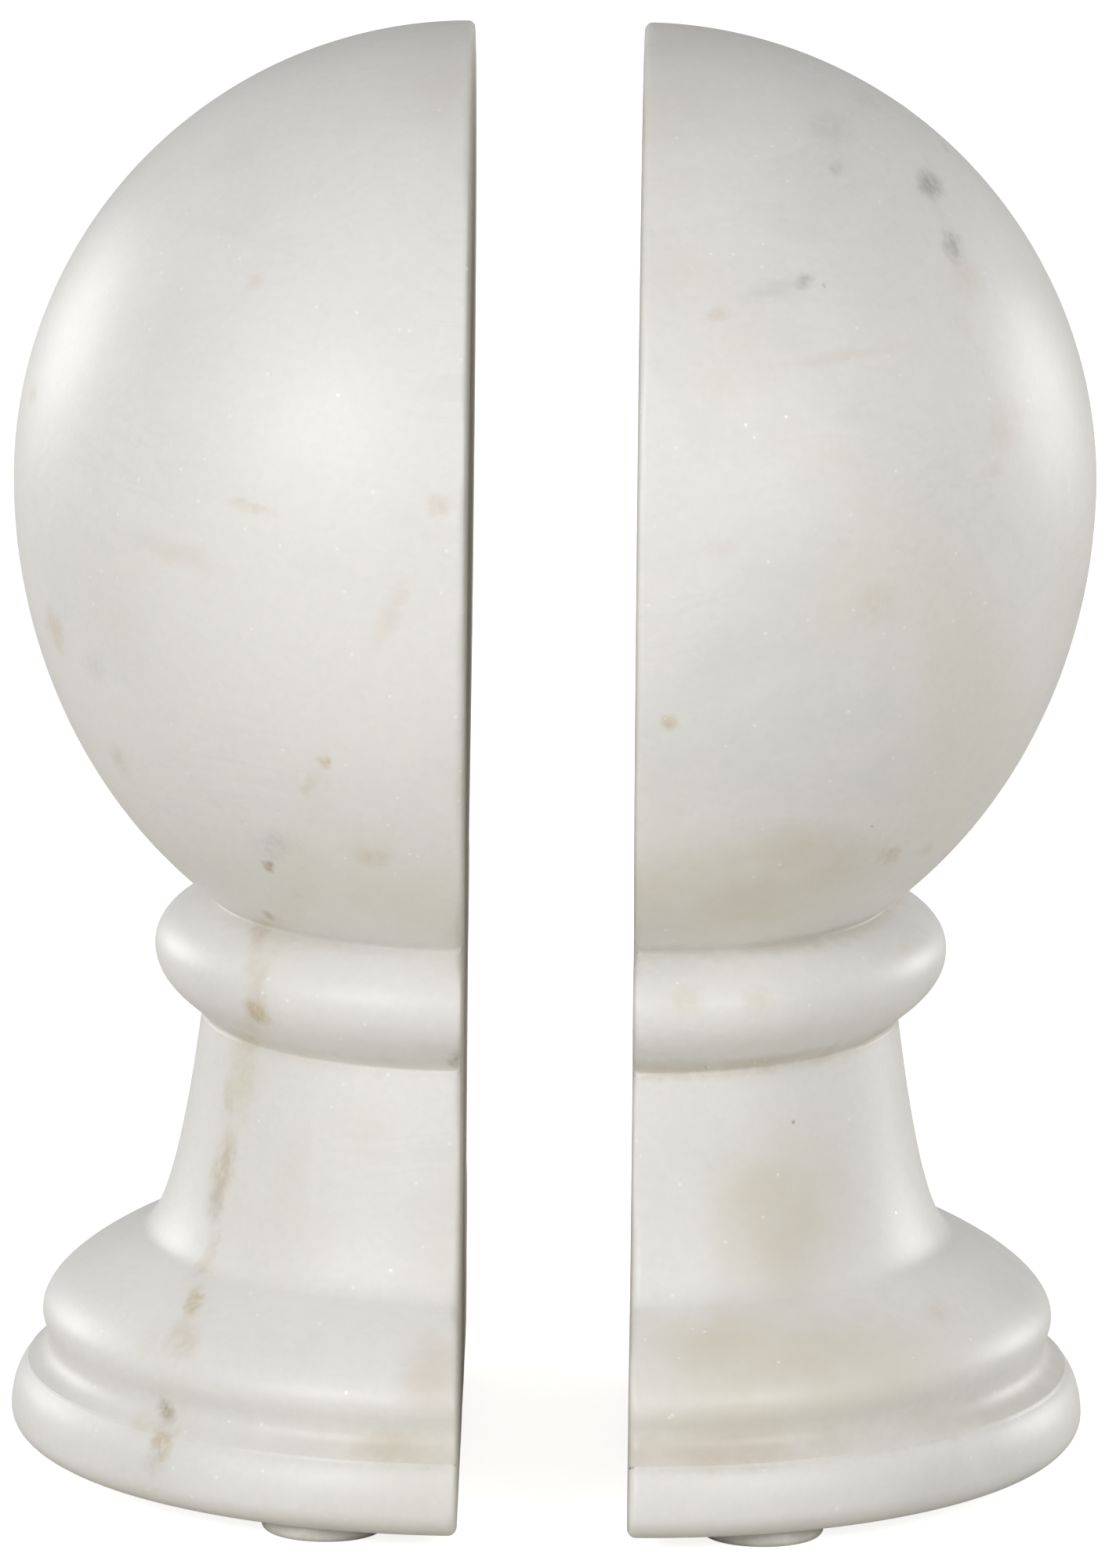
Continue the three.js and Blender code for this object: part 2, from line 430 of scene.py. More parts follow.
# Turns the pad's outline once round and sets one on every point given.
def padTree():
    tree, start, end = newTree("bumperPads", [
        ("Outline", "Object"), ("Steps", "Int"), ("Material", "Material"),
    ])
    given = start.outputs
    outline = addNode(tree, "GeometryNodeObjectInfo", {"Object": given["Outline"]}).outputs["Geometry"]
    rows = addNode(tree, "GeometryNodeAttributeDomainSize", {0: outline}).outputs["Point Count"]
    grid, row, column = gridOf(tree, rows, calc(tree, "ADD", given["Steps"], 1))
    position = addNode(tree, "GeometryNodeInputPosition").outputs[0]
    sample = addNode(tree, "GeometryNodeSampleIndex", {"Geometry": outline, "Value": position, "Index": row},
                     data_type="FLOAT_VECTOR")
    at = addNode(tree, "ShaderNodeSeparateXYZ", {0: sample.outputs[0]})
    angle = calc(tree, "MULTIPLY", calc(tree, "DIVIDE", column, given["Steps"]), -2 * math.pi)
    turned = combine(tree,
                     calc(tree, "MULTIPLY", at.outputs["X"], calc(tree, "COSINE", angle)),
                     calc(tree, "MULTIPLY", at.outputs["X"], calc(tree, "SINE", angle)),
                     at.outputs["Z"])
    pad = addNode(tree, "GeometryNodeSetPosition", {"Geometry": grid, "Position": turned}).outputs[0]
    pad = addNode(tree, "GeometryNodeMergeByDistance", {"Geometry": pad, "Distance": 1e-6}).outputs[0]
    pad = addNode(tree, "GeometryNodeSetShadeSmooth", {"Geometry": pad}).outputs[0]
    placed = addNode(tree, "GeometryNodeInstanceOnPoints", {"Points": given["Geometry"], "Instance": pad})
    real = addNode(tree, "GeometryNodeRealizeInstances", {"Geometry": placed.outputs[0]}).outputs[0]
    finished = addNode(tree, "GeometryNodeSetMaterial", {"Geometry": real, "Material": given["Material"]})
    tree.links.new(finished.outputs[0], end.inputs[0])
    return tree


def makePads(side, tree, material):
    names = [f"{side}_pad_{place}" for place in ("front", "rear", "outer")]
    boxes = [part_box(name) for name in names]
    centres = [((low[0] + high[0]) / 2, (low[1] + high[1]) / 2, low[2]) for low, high in boxes]
    low, high = boxes[0]
    outline = outlineObject("padOutline", padOutline((high[0] - low[0]) / 2 / mm, (high[2] - low[2]) / mm))
    mesh = bpy.data.meshes.new("padPlaces")
    mesh.from_pydata(centres, [], [])
    places = bpy.data.objects.new("padPlaces", mesh)
    bpy.context.collection.objects.link(places)
    values = {"Outline": outline, "Steps": padShape["steps"], "Material": material}
    piece = runTree(places, tree, values, f"{side}_pads")
    bpy.data.objects.remove(outline)
    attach(piece, sides[side]["body"])
    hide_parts(*names)
    return piece


def newGroup(name, inputs, outputs):
    group = bpy.data.node_groups.new(name, "ShaderNodeTree")
    for label, kind in inputs:
        group.interface.new_socket(label, in_out="INPUT", socket_type="NodeSocket" + kind)
    for label, kind in outputs:
        group.interface.new_socket(label, in_out="OUTPUT", socket_type="NodeSocket" + kind)
    return group, addNode(group, "NodeGroupInput").outputs, addNode(group, "NodeGroupOutput").inputs


def newMaterial(name):
    material = bpy.data.materials.new(name)
    material.use_nodes = True
    tree = material.node_tree
    return material, tree, tree.nodes["Principled BSDF"]


def mixColour(tree, share, first, second):
    node = addNode(tree, "ShaderNodeMix", {0: share, 6: first, 7: second}, data_type="RGBA")
    return node.outputs[2]


# Fine grain, polish and tooling that stone and rubber share, each at its own scale.
def surfaceGrainGroup():
    group, given, result = newGroup(
        "surfaceGrain",
        [("Position", "Vector"), ("Grain Scale", "Float"), ("Smear Scale", "Float"),
         ("Base Roughness", "Float"), ("Roughness Swing", "Float")],
        [("Roughness", "Float"), ("Height", "Float")])
    grain = noise(group, given["Position"], given["Grain Scale"], 3.0, 0.6)
    smear = noise(group, given["Position"], given["Smear Scale"], 3.0, 0.55)
    both = calc(group, "ADD", calc(group, "MULTIPLY", grain, 0.45), calc(group, "MULTIPLY", smear, 0.55))
    swing = calc(group, "MULTIPLY", calc(group, "SUBTRACT", both, 0.5), given["Roughness Swing"])
    plug(group, result["Roughness"], calc(group, "ADD", given["Base Roughness"], swing))
    plug(group, result["Height"], both)
    return group


# Scales here are in repeats per millimetre.
figureShape = {
    "driftScale": 0.018,
    "drift": 34.0,                    # how many millimetres the clouds are pushed about
    "coolScale": 0.026,
    "warmScale": 0.019,
    "bedLean": -62,                   # degrees
    "bedScale": (0.012, 0.05, 0.16),  # the streaks are long one way and thin the other
    "crystalScale": 0.9,
    "crystalTone": (0.985, 1.01),
    "fleckScale": 0.36,
    "fleckRarity": 0.72,
}


# Broad cool and warm clouds, faint streaks, crystals, and a mask of shining crystals for a lower roughness
# and a painted glint, all through the stone.
# Position is in millimetres.
def marbleFigureGroup():
    shape = figureShape
    group, given, result = newGroup(
        "marbleFigure",
        [("Position", "Vector"), ("White", "Color"), ("Grey Cloud", "Color"), ("Warm Cloud", "Color"),
         ("Cloudiness", "Float"), ("Streakiness", "Float")],
        [("Color", "Color"), ("Glint", "Float")])
    at = given["Position"]
    drift = addNode(group, "ShaderNodeTexNoise", {"Vector": at, "Scale": shape["driftScale"], "Detail": 2.0})
    drift = vectorCalc(group, "SUBTRACT", drift.outputs["Color"], (0.5, 0.5, 0.5))
    drifted = vectorCalc(group, "ADD", at, vectorCalc(group, "SCALE", drift, scale=shape["drift"]))

    cool = ramp(group, noise(group, drifted, shape["coolScale"], 5.0, 0.55), 0.46, 0.72)
    shifted = vectorCalc(group, "ADD", drifted, (71.0, 37.0, 113.0))
    warm = ramp(group, noise(group, shifted, shape["warmScale"], 4.0, 0.5), 0.48, 0.72)

    # The bedding of the stone leans, and the streaks lie along it.
    bedTurn = (0.25, math.radians(shape["bedLean"]), 0.3)
    bed = addNode(group, "ShaderNodeMapping", {
        "Vector": drifted, "Rotation": bedTurn, "Scale": shape["bedScale"]})
    streak = noise(group, bed.outputs[0], 1.0, 4.0, 0.6)
    thinStreak = ramp(group, calc(group, "ABSOLUTE", calc(group, "SUBTRACT", streak, 0.5)), 0.05, 0.0)
    streakWhere = ramp(group, noise(group, shifted, 0.03, 2.0), 0.45, 0.65)
    thinStreak = calc(group, "MULTIPLY", thinStreak, streakWhere)

    coolShare = calc(group, "MULTIPLY", cool, given["Cloudiness"])
    warmShare = calc(group, "MULTIPLY", warm, given["Cloudiness"])
    streakShare = calc(group, "MULTIPLY", thinStreak, given["Streakiness"])
    colour = mixColour(group, coolShare, given["White"], given["Grey Cloud"])
    colour = mixColour(group, warmShare, colour, given["Warm Cloud"])
    colour = mixColour(group, streakShare, colour, given["Grey Cloud"])

    # Crystals of about a millimetre differ a little in tone, and here and there one shines: its mask later
    # gives it a lower roughness and a painted glint, nearly white, in the colour.
    crystal = addNode(group, "ShaderNodeTexVoronoi", {"Vector": at, "Scale": shape["crystalScale"]})
    tone = addNode(group, "ShaderNodeSeparateColor", {0: crystal.outputs["Color"]}).outputs[0]
    tone = ramp(group, tone, 0.0, 1.0, *shape["crystalTone"], smooth=False)
    colour = vectorCalc(group, "SCALE", colour, scale=tone)
    bright = addNode(group, "ShaderNodeTexVoronoi", {"Vector": at, "Scale": shape["fleckScale"]})
    chance = addNode(group, "ShaderNodeSeparateColor", {0: bright.outputs["Color"]}).outputs[1]
    fleck = calc(group, "MULTIPLY", ramp(group, bright.outputs["Distance"], 0.13, 0.05),
                 calc(group, "GREATER_THAN", chance, shape["fleckRarity"]))
    plug(group, result["Color"], colour)
    plug(group, result["Glint"], fleck)
    return group


# A sheet of stain that runs through the stone front to back, strong in some places and lost in others.
def veinSheetGroup():
    group, given, result = newGroup(
        "veinSheet",
        [("Position", "Vector"), ("Centre", "Vector"), ("Lean", "Float"), ("Half Width", "Float"),
         ("Top", "Float")],
        [("Core", "Float"), ("Halo", "Float")])
    apart = vectorCalc(group, "SUBTRACT", given["Position"], given["Centre"])
    turned = addNode(group, "ShaderNodeVectorRotate", {"Vector": apart, "Angle": given["Lean"]},
                     rotation_type="Y_AXIS").outputs[0]
    across = axisOf(group, turned, "X")
    wander = calc(group, "SUBTRACT", noise(group, given["Position"], 0.045, 4.0, 0.6), 0.5)
    across = calc(group, "ADD", across, calc(group, "MULTIPLY", wander, 9.0))
    away = calc(group, "DIVIDE", calc(group, "ABSOLUTE", across), given["Half Width"])
    patches = ramp(group, noise(group, given["Position"], 0.11, 4.0, 0.65), 0.46, 0.66)
    wide = ramp(group, noise(group, given["Position"], 0.035, 2.0), 0.35, 0.6)
    height = axisOf(group, given["Position"], "Z")
    fade = ramp(group, calc(group, "SUBTRACT", given["Top"], height), -8.0, 12.0)
    core = calc(group, "MULTIPLY", ramp(group, away, 1.0, 0.1), patches)
    halo = calc(group, "MULTIPLY", ramp(group, away, 3.2, 0.3), wide)
    plug(group, result["Core"], calc(group, "MULTIPLY", core, fade))
    plug(group, result["Halo"], calc(group, "MULTIPLY", halo, fade))
    return group


# One pocket of colour with ragged edges. Position arrives already warped.
def stainGroup():
    group, given, result = newGroup(
        "stain",
        [("Position", "Vector"), ("Centre", "Vector"), ("Half Size", "Vector"), ("Lean", "Float"),
         ("Strength", "Float")],
        [("Mask", "Float")])
    apart = vectorCalc(group, "SUBTRACT", given["Position"], given["Centre"])
    turned = addNode(group, "ShaderNodeVectorRotate", {"Vector": apart, "Angle": given["Lean"]},
                     rotation_type="Y_AXIS").outputs[0]
    reach = vectorCalc(group, "LENGTH", vectorCalc(group, "DIVIDE", turned, given["Half Size"]))
    plug(group, result["Mask"], calc(group, "MULTIPLY", ramp(group, reach, 1.25, 0.1), given["Strength"]))
    return group


marbleLook = {
    "white": (0.80, 0.79, 0.765, 1),
    "greyCloud": (0.70, 0.70, 0.69, 1),
    "warmCloud": (0.76, 0.725, 0.655, 1),
    # Painted shade: the sawn face is coloured darker and browner, standing in for the shade in the narrow gap
    # between the halves.
    "sawnPaintedShade": (0.45, 0.41, 0.335, 1),
    "sawnShadeShare": (0.3, 0.62),   # how much of that painted shade shows where a patchy noise is lowest and highest
    "bladeMark": 0.12,
    "cloudiness": {"left": 0.45, "right": 0.62},
    "streakiness": 0.22,
    "warpScale": 0.32,
    "warp": 3.2,                # how many millimetres the edges of the stains are ragged by
    "roughness": 0.44,
    "roughnessSwing": 0.16,
    "sawnDuller": 0.16,
    "fleckShine": 0.2,
    "grainHeight": 0.000016,
    "subsurface": 0.25,
    "subsurfaceDepth": 0.005,
    "stains": {
        "brown": (0.34, 0.25, 0.17, 1),
        "tan": (0.56, 0.45, 0.31, 1),
        "ochre": (0.56, 0.45, 0.26, 1),
        "grey": (0.27, 0.27, 0.255, 1),
        "pink": (0.69, 0.625, 0.545, 1),
        "straw": (0.69, 0.66, 0.55, 1),
        "green": (0.50, 0.53, 0.44, 1),
        # Dust colour, also used for the painted shade in the creases of the turning.
        "dust": (0.56, 0.50, 0.39, 1),
    },
    # Each crease that is painted darker and warmer, as dust and as painted shade: height above the underside,
    # half height of the band and strength.
    "shadedCreases": ((67.8, 2.6, 0.6), (86.0, 1.8, 0.4), (13.6, 3.6, 0.4)),
    # How strongly each side's creases are painted; the right half gets more painted shade.
    "dust": {"left": 0.45, "right": 1.0},
    # Where each sheet crosses the front: millimetres from the sawn face, height, lean in degrees, half width.
    "sheets": {
        "left": {"colour": "tan", "across": 36, "height": 52, "lean": 12,
                 "halfWidth": 1.7, "core": 0.34, "halo": 0.2, "top": 122},
        "right": {"colour": "pink", "across": 48, "height": 192, "lean": 19,
                  "halfWidth": 1.6, "core": 0.22, "halo": 0.12, "top": 215},
    },
}

# The stains that show, and under each ball a broad warm patch of painted shade, each one as: colour,
# millimetres from the sawn face, height above the underside, half width, half height, lean in degrees and
# strength.
marbleStains = {
    "left": [
        ("brown", 30, 100, 1.2, 1.5, 0, 0.85),
        ("grey", 29, 104, 3, 4, 20, 0.22),
        ("ochre", 21.5, 120.5, 1.3, 1.3, 0, 0.7),
        ("tan", 23.5, 116, 1.3, 3, 25, 0.3),
        ("pink", 11, 146, 2, 7, 25, 0.4),
        ("brown", 30, 89, 1.3, 1.6, 0, 0.6),
        ("tan", 31.3, 85, 1.7, 3.5, 8, 0.5),
        ("pink", 32, 80, 2, 6, 0, 0.6),
        ("ochre", 31.6, 74.5, 2.6, 2.4, 0, 0.85),
        ("pink", 33, 71, 3, 2.5, 0, 0.5),
        ("straw", 34, 63, 2.6, 9, 4, 0.75),
        ("tan", 36.4, 48, 1.8, 6, 10, 0.62),
        ("grey", 38, 42, 2, 4, 10, 0.25),
        ("ochre", 40.8, 29.5, 1.6, 3, 6, 0.8),
        ("tan", 42.4, 25.5, 3.5, 4, 0, 0.35),
        ("straw", 47, 24, 4.5, 4, 0, 0.35),
        ("brown", 44.8, 14.3, 1.8, 2.2, 0, 0.75),
        ("tan", 45.5, 10.6, 1.9, 3, 0, 0.75),
        ("grey", 46.5, 7.5, 2.5, 2.5, 0, 0.2),
        ("straw", 48.6, 12, 3, 2.4, 0, 0.6),
        ("tan", 4.2, 162.5, 2.4, 2, 0, 0.38),
        ("tan", 14, 104, 3, 2.4, -15, 0.42),
        ("straw", 15, 106, 7, 6, 0, 0.3),
        ("tan", 32.6, 160, 5, 1, 6, 0.3),
        ("pink", 43, 151, 9, 2.4, 8, 0.35),
        ("tan", 63, 132, 2, 4.5, -15, 0.45),
        ("tan", 53, 113, 2, 3.5, -20, 0.35),
        ("grey", 57, 129, 3, 3, 0, 0.14),
        ("tan", 4, 24, 6, 7.5, 0, 0.34),
        ("straw", 8, 14, 18, 3, 0, 0.6),
        ("tan", 9, 13.6, 8, 2.6, 0, 0.3),
        ("tan", 32.6, 192, 2, 1.4, -30, 0.22),
        ("straw", 37, 206, 7, 3, -30, 0.3),
        ("tan", 67, 166, 1.6, 2, 0, 0.3),
        ("pink", 15, 56, 6, 7, 15, 0.3),
        ("straw", 26, 50, 3, 9, 12, 0.25),
        ("green", 1.3, 69.5, 1, 2.5, 0, 0.8),
        ("straw", 3, 216, 12, 5, 0, 0.4),
        # Painted shade: a broad warm patch on the underside of the ball.
        ("straw", 16, 97, 22, 9, 0, 0.45),
    ],
    "right": [
        ("grey", 44, 202, 2.6, 3, 15, 0.68),
        ("grey", 46.5, 203.5, 0.9, 1, 0, 0.4),
        ("grey", 47.5, 194.5, 1.7, 3.2, 20, 0.5),
        ("pink", 50, 190, 3, 4, 20, 0.4),
        ("grey", 29.5, 207, 1.6, 1.2, 0, 0.32),
        ("grey", 29, 211, 5, 3, 0, 0.16),
        ("pink", 34, 212, 4, 2, 0, 0.35),
        ("grey", 25, 193.5, 2, 1.2, 10, 0.4),
        ("brown", 28, 192.7, 0.4, 0.4, 0, 0.7),
        ("grey", 21, 193, 7, 1.6, 10, 0.14),
        ("tan", 12, 190, 2.2, 1.2, 8, 0.35),
        ("pink", 30, 183, 14, 1, 3, 0.35),
        ("pink", 56, 169, 4, 5, 0, 0.4),
        ("tan", 54, 163, 2.4, 1.6, 0, 0.2),
        ("pink", 36, 146, 4, 4, 0, 0.5),
        ("pink", 13, 156.5, 4, 1.6, 4, 0.3),
        ("pink", 31, 155.5, 3, 1.5, 4, 0.3),
        ("ochre", 5.3, 128.5, 1.7, 1.4, 0, 0.6),
        ("brown", 36.4, 107.5, 0.35, 0.35, 0, 0.8),
        ("pink", 39, 101, 3, 2, -40, 0.9),
        ("tan", 39, 101, 2.4, 1.4, -40, 0.25),
        ("tan", 44.5, 100, 1.6, 2, 0, 0.3),
        ("brown", 24.5, 58, 0.4, 0.4, 0, 0.85),
        ("pink", 23, 105.5, 7, 6, 0, 0.35),
        ("straw", 41.5, 82, 2.2, 1.6, 0, 0.6),
        ("straw", 19, 79.5, 3, 2.4, 0, 0.6),
        ("straw", 8, 80, 3.5, 2.6, 0, 0.6),
        ("brown", 11, 68, 0.35, 0.6, 0, 0.6),
        ("straw", 23, 45, 14, 15, 10, 0.75),
        ("pink", 20, 42, 10, 12, 0, 0.5),
        ("pink", 14, 29, 10, 3.5, 8, 0.75),
        ("pink", 28, 26.5, 11, 4.5, 6, 0.8),
        ("pink", 47, 28, 3, 2.4, 0, 0.5),
        ("straw", 18, 26, 26, 9, 0, 0.7),
        ("straw", 40, 24, 16, 7, -10, 0.5),
        ("pink", 14, 13.5, 20, 3, 2, 0.75),
        ("straw", 20, 18, 26, 5, 3, 0.6),
        ("straw", 3, 215, 12, 6, 0, 0.4),
        # Painted shade: a broad warm patch on the underside of the ball.
        ("straw", 16, 97, 26, 13, 0, 0.8),
        ("pink", 30, 103, 12, 7, -25, 0.5),
    ],
}


def radiusAt(outline, height):
    for (r, z), (nextR, nextZ) in zip(outline, outline[1:]):
        if z <= height < nextZ:
            return r + (nextR - r) * (height - z) / (nextZ - z)
    return 0.0


# A stain lies on the front of the turned side, where its distance from the sawn face puts it.
def stainCentre(side, outline, across, height):
    radius = radiusAt(outline, height)
    depth = -math.sqrt(max(radius * radius - across * across, 0.0))
    low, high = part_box(f"{side}_stone_half")
    face = high[0] / mm if side == "left" else low[0] / mm
    return (face + sides[side]["outward"] * across, depth, low[2] / mm + height)


def useGroup(tree, group, inputs):
    node = addNode(tree, "ShaderNodeGroup", node_tree=group)
    for key, value in inputs.items():
        plug(tree, node.inputs[key], value)
    return node.outputs


def makeMarble(side, groups):
    look = marbleLook
    outward = sides[side]["outward"]
    low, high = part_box(f"{side}_stone_half")
    outline = [(r / mm, z / mm) for r, z in halfOutline((high[1] - low[1]) / 2 / mm, (high[2] - low[2]) / mm)]
    material, tree, shader = newMaterial(f"{side}Marble")
    place = addNode(tree, "ShaderNodeTexCoord").outputs["Object"]
    at = vectorCalc(tree, "SCALE", place, scale=1 / mm)
    figure = useGroup(tree, groups["figure"], {
        "Position": vectorCalc(tree, "ADD", at, (300.0 * outward, 0.0, 40.0)),
        "White": look["white"], "Grey Cloud": look["greyCloud"], "Warm Cloud": look["warmCloud"],
        "Cloudiness": look["cloudiness"][side], "Streakiness": look["streakiness"]})
    colour = figure["Color"]

    warp = addNode(tree, "ShaderNodeTexNoise", {"Vector": at, "Scale": look["warpScale"], "Detail": 4.0,
                                                "Roughness": 0.7})
    warp = vectorCalc(tree, "SUBTRACT", warp.outputs["Color"], (0.5, 0.5, 0.5))
    warped = vectorCalc(tree, "ADD", at, vectorCalc(tree, "SCALE", warp, scale=look["warp"]))
    mottle = ramp(tree, noise(tree, at, 0.7, 3.0, 0.65), 0.28, 0.62, 0.35, 1.0)
    softMottle = ramp(tree, noise(tree, at, 0.12, 3.0, 0.55), 0.3, 0.68, 0.55, 1.0)

    sheet = look["sheets"][side]
    vein = useGroup(tree, groups["sheet"], {
        "Position": warped, "Centre": stainCentre(side, outline, sheet["across"], sheet["height"]),
        "Lean": math.radians(sheet["lean"]) * outward, "Half Width": sheet["halfWidth"],
        "Top": sheet["top"]})
    stainColours = look["stains"]
    halo = calc(tree, "MULTIPLY", vein["Halo"], sheet["halo"])
    core = calc(tree, "MULTIPLY", vein["Core"], sheet["core"])
    colour = mixColour(tree, halo, colour, stainColours["straw"])
    colour = mixColour(tree, core, colour, stainColours[sheet["colour"]])
    for name, across, height, halfWidth, halfHeight, lean, strength in marbleStains[side]:
        halfDeep = max(halfWidth, halfHeight) * 1.6
        broken = mottle if halfWidth < 6 else softMottle
        mask = useGroup(tree, groups["stain"], {
            "Position": warped, "Centre": stainCentre(side, outline, across, height),
            "Half Size": (halfWidth, halfDeep, halfHeight),
            "Lean": math.radians(lean) * outward, "Strength": strength})["Mask"]
        colour = mixColour(tree, calc(tree, "MULTIPLY", mask, broken), colour, stainColours[name])

    # Dust and old polish settle in the creases of the turning, and the same bands paint shade there: the
    # creases are painted darker and warmer.
    height = calc(tree, "SUBTRACT", axisOf(tree, warped, "Z"), low[2] / mm)
    for centre, halfHeight, strength in look["shadedCreases"]:
        away = calc(tree, "ABSOLUTE", calc(tree, "SUBTRACT", height, centre))
        creaseDustAndShade = calc(tree, "MULTIPLY", ramp(tree, away, halfHeight, 0.2), strength * look["dust"][side])
        colour = mixColour(tree, calc(tree, "MULTIPLY", creaseDustAndShade, softMottle), colour, stainColours["dust"])

    # The sawn face is duller, with the faint arcs of the blade, and it is painted greyer and darker as
    # painted shade of the narrow gap between the halves.
    fromFace = calc(tree, "MULTIPLY", axisOf(tree, at, "X"), outward)
    faceAt = (low[0] if outward > 0 else -high[0]) / mm
    fromFace = calc(tree, "SUBTRACT", fromFace, faceAt)
    sawn = ramp(tree, fromFace, 0.6, 0.05)
    blade = addNode(tree, "ShaderNodeTexWave", {
        "Vector": vectorCalc(tree, "SUBTRACT", at, (0.0, 260.0, 60.0)), "Scale": 0.14,
        "Distortion": 1.2, "Detail": 2.0, "Detail Scale": 0.2}, wave_type="RINGS", rings_direction="X")
    drag = vectorCalc(tree, "SCALE", blade.outputs["Color"], scale=0.6)
    patch = noise(tree, vectorCalc(tree, "ADD", at, drag), 0.028, 5.0, 0.62)
    shadeAndBladeShare = ramp(tree, patch, 0.3, 0.7, look["sawnShadeShare"][0], look["sawnShadeShare"][1])
    shadeAndBladeShare = calc(tree, "ADD", shadeAndBladeShare, calc(tree, "MULTIPLY", blade.outputs["Fac"], look["bladeMark"]))
    # Painted shade: the sawn face is mixed towards the darker sawn colour.
    colour = mixColour(tree, calc(tree, "MULTIPLY", sawn, shadeAndBladeShare), colour, look["sawnPaintedShade"])
    # Painted glint: the shining crystals are painted nearly white in the colour.
    colour = mixColour(tree, calc(tree, "MULTIPLY", figure["Glint"], 0.7), colour, (0.97, 0.97, 0.95, 1))
    plug(tree, shader.inputs["Base Color"], colour)

    grain = useGroup(tree, groups["grain"], {
        "Position": at, "Grain Scale": 1.1, "Smear Scale": 0.05,
        "Base Roughness": look["roughness"], "Roughness Swing": look["roughnessSwing"]})
    duller = calc(tree, "MULTIPLY", sawn, look["sawnDuller"])
    shine = calc(tree, "MULTIPLY", figure["Glint"], look["fleckShine"])
    rough = calc(tree, "SUBTRACT", calc(tree, "ADD", grain["Roughness"], duller), shine)
    plug(tree, shader.inputs["Roughness"], rough)
    bladeHeight = calc(tree, "MULTIPLY", blade.outputs["Fac"], sawn)
    relief = calc(tree, "ADD", grain["Height"], calc(tree, "MULTIPLY", bladeHeight, 0.5))
    bump = addNode(tree, "ShaderNodeBump", {"Distance": look["grainHeight"], "Height": relief})
    plug(tree, shader.inputs["Normal"], bump.outputs[0])
    shader.inputs["Subsurface Weight"].default_value = look["subsurface"]
    shader.inputs["Subsurface Radius"].default_value = (1.0, 0.82, 0.62)
    shader.inputs["Subsurface Scale"].default_value = look["subsurfaceDepth"]
    return material


rubberLook = {
    "cloudy": (0.80, 0.79, 0.74, 1),
    "clear": (0.68, 0.675, 0.62, 1),
    "dust": (0.80, 0.79, 0.75, 1),
    "roughness": 0.36,
    "roughnessSwing": 0.3,
    "grainHeight": 0.00002,
    "subsurface": 0.5,
    "subsurfaceDepth": 0.002,
}


# Clear rubber is cloudy in patches and clearer and darker between them, and dust settles low on it.
def makeRubber(side, groups):
    look = rubberLook
    material, tree, shader = newMaterial(f"{side}Rubber")
    place = addNode(tree, "ShaderNodeTexCoord").outputs["Object"]
    at = vectorCalc(tree, "SCALE", place, scale=1 / mm)
    height = axisOf(tree, at, "Z")
    cloud = ramp(tree, noise(tree, at, 0.25, 3.0, 0.6), 0.35, 0.65)
    colour = mixColour(tree, cloud, look["clear"], look["cloudy"])
    low = ramp(tree, height, 1.4, 0.1)
    specks = ramp(tree, noise(tree, at, 1.6, 3.0, 0.7), 0.48, 0.7)
    colour = mixColour(tree, calc(tree, "MULTIPLY", low, specks), colour, look["dust"])
    plug(tree, shader.inputs["Base Color"], colour)
    grain = useGroup(tree, groups["grain"], {
        "Position": at, "Grain Scale": 2.4, "Smear Scale": 0.4,
        "Base Roughness": look["roughness"], "Roughness Swing": look["roughnessSwing"]})
    plug(tree, shader.inputs["Roughness"], grain["Roughness"])
    bump = addNode(tree, "ShaderNodeBump", {"Distance": look["grainHeight"], "Height": grain["Height"]})
    plug(tree, shader.inputs["Normal"], bump.outputs[0])
    shader.inputs["Subsurface Weight"].default_value = look["subsurface"]
    shader.inputs["Subsurface Radius"].default_value = (1.0, 0.95, 0.75)
    shader.inputs["Subsurface Scale"].default_value = look["subsurfaceDepth"]
    return material


# The floor, the lights and the room. Powers are in watts.
studio = {
    "floorSize": 60.0,
    "floorColour": (0.70, 0.68, 0.62, 1),
    "floorWhite": 0.84,       # what the floor adds to itself where the camera looks at it
    "ambient": 0.34,
    "backdrop": 1.0,
    "lights": {
        "keyLeft": {"towards": (-0.578, -0.724, 0.376), "distance": 1.3, "size": 0.62, "power": 7.2},
        "keyRight": {"towards": (0.54, -0.749, 0.383), "distance": 1.3, "size": 0.62, "power": 5.0},
        "rimLeft": {"towards": (-0.739, 0.659, 0.134), "distance": 1.3, "size": 0.5, "power": 4.0},
        "rimRight": {"towards": (0.80, 0.593, 0.088), "distance": 1.3, "size": 0.5, "power": 4.5},
    },
}

cameraView = {
    "lens": 1200.0,
    "sensor": 36.0,
    "distance": 8.021,
    "azimuth": 0.42,
    "elevation": 13.4,
    "roll": 0.553,
    "aim": (0.0009, 0.0, 0.1053),
}


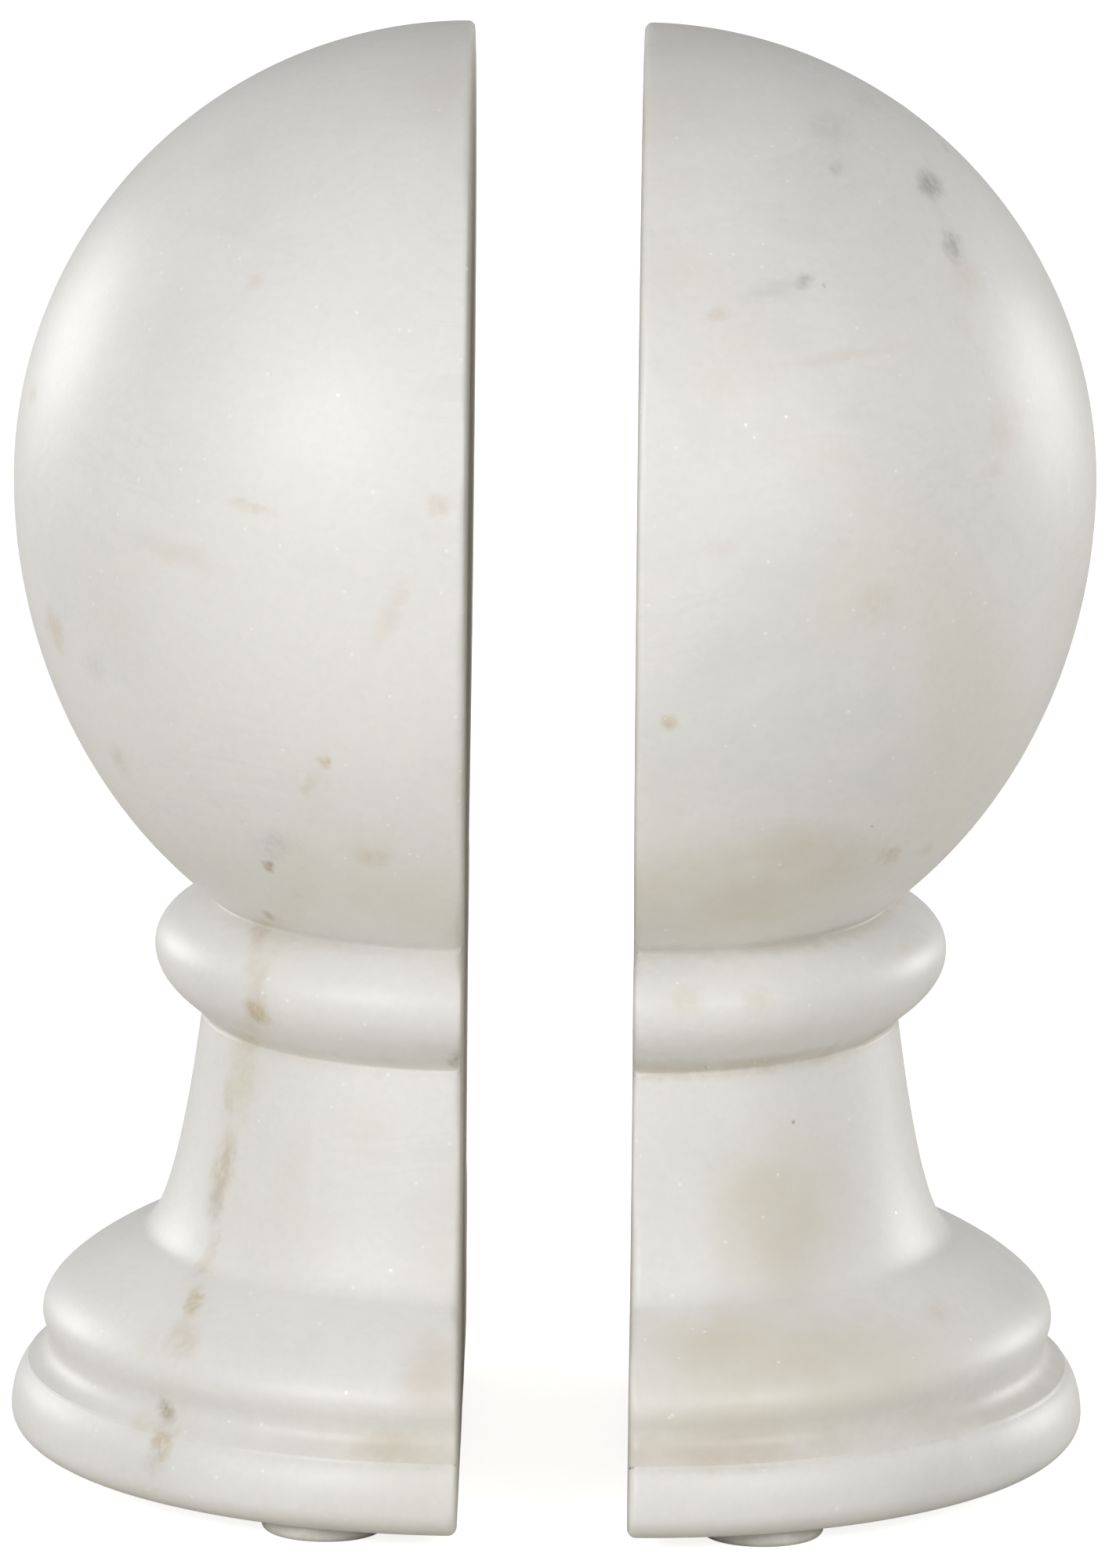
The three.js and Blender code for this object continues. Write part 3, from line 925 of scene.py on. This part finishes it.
# A sheet of pale paper, lit from behind a little so that it reads as white.
def makeFloor():
    half = studio["floorSize"] / 2
    z = cadBox[0][2]
    mesh = bpy.data.meshes.new("floor")
    corners = [(-half, -half, z), (half, -half, z), (half, half, z), (-half, half, z)]
    mesh.from_pydata(corners, [], [(0, 1, 2, 3)])
    floor = bpy.data.objects.new("floor", mesh)
    bpy.context.collection.objects.link(floor)
    material, tree, shader = newMaterial("palePaper")
    at = addNode(tree, "ShaderNodeTexCoord").outputs["Object"]
    fibre = noise(tree, at, 900.0, 3.0, 0.6)
    pale = studio["floorColour"]
    shade = tuple(0.97 * c for c in pale[:3]) + (1,)
    plug(tree, shader.inputs["Base Color"], mixColour(tree, fibre, shade, pale))
    plug(tree, shader.inputs["Roughness"], ramp(tree, fibre, 0.2, 0.8, 0.85, 0.95))
    shader.inputs["Emission Color"].default_value = (1, 1, 1, 1)
    seen = addNode(tree, "ShaderNodeLightPath").outputs["Is Camera Ray"]
    plug(tree, shader.inputs["Emission Strength"], calc(tree, "MULTIPLY", seen, studio["floorWhite"]))
    mesh.materials.append(material)


def makeLights():
    for name, given in studio["lights"].items():
        lamp = bpy.data.lights.new(name, "AREA")
        lamp.shape = "DISK"
        lamp.size = given["size"]
        lamp.energy = given["power"]
        made = bpy.data.objects.new(name, lamp)
        bpy.context.collection.objects.link(made)
        towards = Vector(given["towards"]).normalized()
        made.location = Vector((0, 0, 0.12)) + towards * given["distance"]
        made.rotation_mode = "QUATERNION"
        made.rotation_quaternion = towards.to_track_quat("Z", "Y")


# The room lights the stone softly, and behind it the backdrop is white.
def makeRoom():
    world = bpy.data.worlds.new("studio")
    world.use_nodes = True
    tree = world.node_tree
    shade = tree.nodes["Background"]
    shade.inputs["Color"].default_value = (1, 1, 1, 1)
    seen = addNode(tree, "ShaderNodeLightPath").outputs["Is Camera Ray"]
    plug(tree, shade.inputs["Strength"], ramp(tree, seen, 0.0, 1.0, studio["ambient"], studio["backdrop"]))
    bpy.context.scene.world = world


def makeCamera():
    given = cameraView
    data = bpy.data.cameras.new("camera")
    data.lens = given["lens"]
    data.sensor_width = given["sensor"]
    data.clip_end = 100
    camera = bpy.data.objects.new("camera", data)
    bpy.context.collection.objects.link(camera)
    azimuth, elevation = math.radians(given["azimuth"]), math.radians(given["elevation"])
    back = Vector((math.sin(azimuth) * math.cos(elevation),
                   -math.cos(azimuth) * math.cos(elevation),
                   math.sin(elevation)))
    camera.location = Vector(given["aim"]) + back * given["distance"]
    camera.rotation_mode = "QUATERNION"
    turn = Quaternion((0, 0, 1), math.radians(given["roll"]))
    camera.rotation_quaternion = (-back).to_track_quat("-Z", "Y") @ turn
    bpy.context.scene.camera = camera


bpy.context.scene.view_settings.view_transform = "Standard"
makeFloor()
makeLights()
makeRoom()
makeCamera()
print("studio ready")

halfTree = turnedHalfTree()
padsTree = padTree()
finishGroups = {
    "figure": marbleFigureGroup(),
    "sheet": veinSheetGroup(),
    "stain": stainGroup(),
    "grain": surfaceGrainGroup(),
}
for side in sides:
    makeStoneHalf(side, halfTree, makeMarble(side, finishGroups))
    makePads(side, padsTree, makeRubber(side, finishGroups))
    print(side, "half and its pads made")
